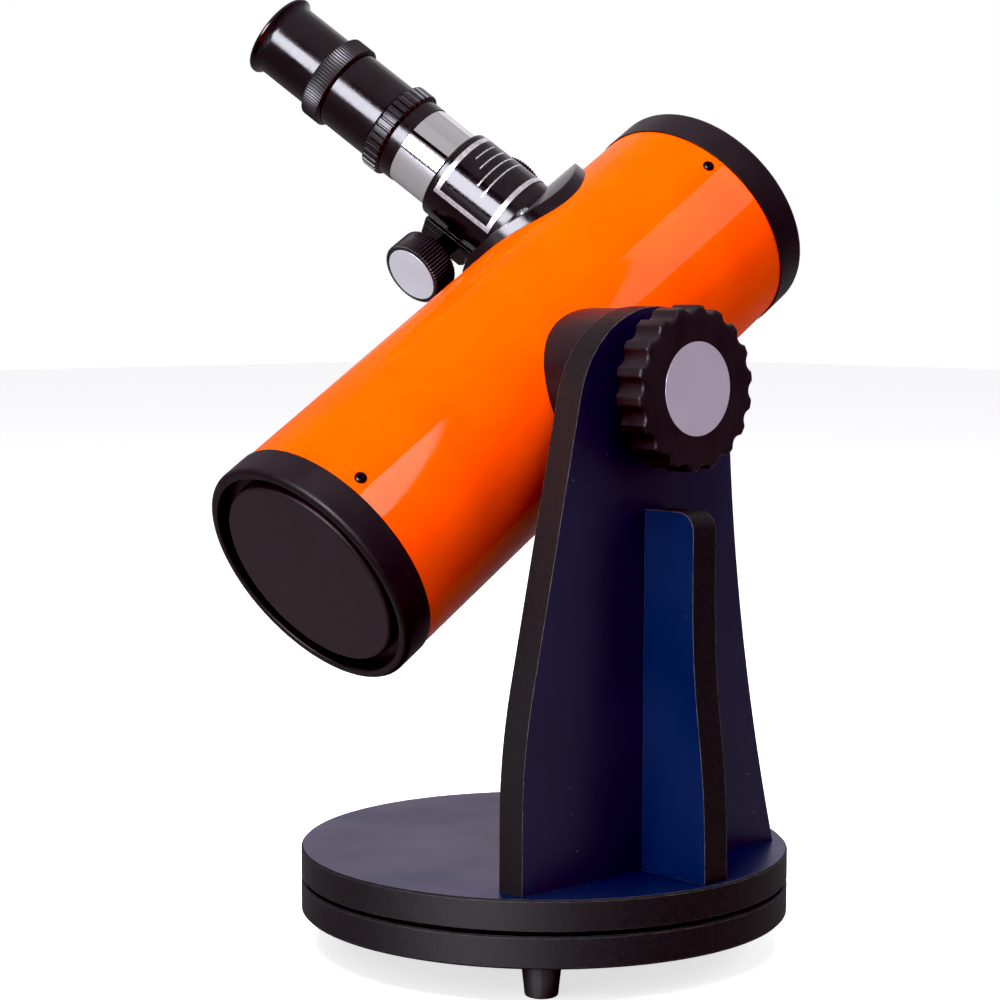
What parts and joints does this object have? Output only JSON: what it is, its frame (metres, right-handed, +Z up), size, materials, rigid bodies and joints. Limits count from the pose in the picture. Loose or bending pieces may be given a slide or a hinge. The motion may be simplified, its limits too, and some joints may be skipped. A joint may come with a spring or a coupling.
{
  "type": "newtonian reflector telescope",
  "caption": "Table-top reflector telescope: short glossy orange tube with rack focuser and eyepiece, held by one side arm on a round turning board base.",
  "frame": {"origin": "centre of the round base at floor level, under the rubber feet", "axes": "+Z up; +X is the direction the tube points seen from above; the single arm stands on the -Y side"},
  "size_m": [0.2627, 0.2469, 0.3748],
  "materials": {
    "edge_painted_board": "round MDF board with black painted edge",
    "navy_board": "MDF board, dark navy laminate faces and black painted edges",
    "blue_board": "MDF board, deep blue laminate faces and black painted edges",
    "rubber": "matte black moulded rubber",
    "nylon": "off-white nylon",
    "zinc_steel": "bright zinc plate",
    "black_steel": "black oxide screws",
    "orange_paint": "high gloss orange enamel outside, matte black inside",
    "satin_black_plastic": "fine-grained moulded plastic, satin",
    "gloss_black_plastic": "polished black plastic",
    "label_foil": "glossy black foil with a silver frame line, no text",
    "silver_cap": "satin silver disc",
    "chrome": "polished chrome plate",
    "brass": "machined brass",
    "foam": "grey foam pad",
    "mirror_coating": "aluminised glass",
    "lens_glass": "coated optical glass"
  },
  "bodies": {
    "ground": {"ground_board": "edge_painted_board", "rubber_feet": "rubber", "foot_screws": "zinc_steel", "pivot_bolt": "zinc_steel", "pivot_nut": "zinc_steel", "glide_pads": "nylon"},
    "turntable": {"turntable_board": "navy_board", "pivot_bush": "nylon", "pivot_washer": "zinc_steel", "pivot_cap": "satin_black_plastic", "side_arm": "navy_board", "arm_gusset": "blue_board", "board_screws": "zinc_steel", "gusset_screws": "zinc_steel", "altitude_bush": "nylon"},
    "tube": {"main_tube": "orange_paint", "front_ring": "satin_black_plastic", "rear_ring": "satin_black_plastic", "ring_screws": "black_steel", "altitude_boss": "satin_black_plastic", "boss_insert": "brass", "boss_screws": "zinc_steel", "friction_washer": "nylon", "mirror_cell": "satin_black_plastic", "mirror_pads": "foam", "primary_mirror": "mirror_coating", "mirror_clips": "zinc_steel", "cell_screws": "zinc_steel", "spider": "satin_black_plastic", "secondary_holder": "satin_black_plastic", "secondary_mirror": "mirror_coating", "secondary_bolt": "zinc_steel", "collimation_screws": "zinc_steel", "focuser_body": "gloss_black_plastic", "label_plate": "label_foil", "focuser_screws": "zinc_steel", "pinion_cover": "gloss_black_plastic", "pinion_cover_screws": "zinc_steel"},
    "focus_shaft": {"pinion_shaft": "zinc_steel", "focus_knobs": "gloss_black_plastic", "focus_knob_caps": "silver_cap"},
    "drawtube": {"drawtube": "chrome", "focus_rack": "brass", "eyepiece_holder": "gloss_black_plastic", "clamp_collet": "nylon"},
    "lock_ring": {"lock_ring": "gloss_black_plastic"},
    "eyepiece": {"eyepiece_barrel": "chrome", "eyepiece_body": "gloss_black_plastic", "grip_ring": "satin_black_plastic", "eyepiece_top": "gloss_black_plastic", "field_stop": "satin_black_plastic", "field_lens": "lens_glass", "lens_spacer": "satin_black_plastic", "eye_lens": "lens_glass"},
    "tension_knob": {"tension_knob": "satin_black_plastic", "knob_stud": "zinc_steel", "knob_cap": "silver_cap", "knob_washer": "zinc_steel"}
  },
  "joints": [
    {"name": "azimuth_turn", "type": "hinge", "parent": "ground", "child": "turntable", "pos_m": [0, 0, 0.0266], "axis": [0, 0, 1], "continuous": true},
    {"name": "altitude_tilt", "type": "hinge", "parent": "turntable", "child": "tube", "pos_m": [-0.0012, -0.0542, 0.2192], "axis": [0, -1, 0], "range_deg": [-42.67, 57.33]},
    {"name": "tension_knob_turn", "type": "hinge", "parent": "tube", "child": "tension_knob", "pos_m": [-0.0012, -0.074, 0.2192], "axis": [0, -1, 0], "range_deg": [-15, 360]},
    {"name": "focus_slide", "type": "slide", "parent": "tube", "child": "drawtube", "axis": [-0.387, 0.6972, 0.6035], "range_m": [-0.018, 0.01]},
    {"name": "focus_knob_turn", "type": "hinge", "parent": "tube", "child": "focus_shaft", "pos_m": [0.03016, 0.07936, 0.28024], "axis": [0.8418, 0, 0.5398], "range_deg": [-122, 218]},
    {"name": "lock_ring_turn", "type": "hinge", "parent": "drawtube", "child": "lock_ring", "pos_m": [0.00464, 0.09228, 0.32004], "axis": [-0.387, 0.6972, 0.6035], "range_deg": [0, 60]},
    {"name": "eyepiece_slide", "type": "slide", "parent": "drawtube", "child": "eyepiece", "axis": [-0.387, 0.6972, 0.6035], "range_m": [0, 0.028]}
  ],
  "couplings": [
    {"joint": "focus_knob_turn", "follows": "focus_slide", "rad_per_m": -208.33}
  ]
}
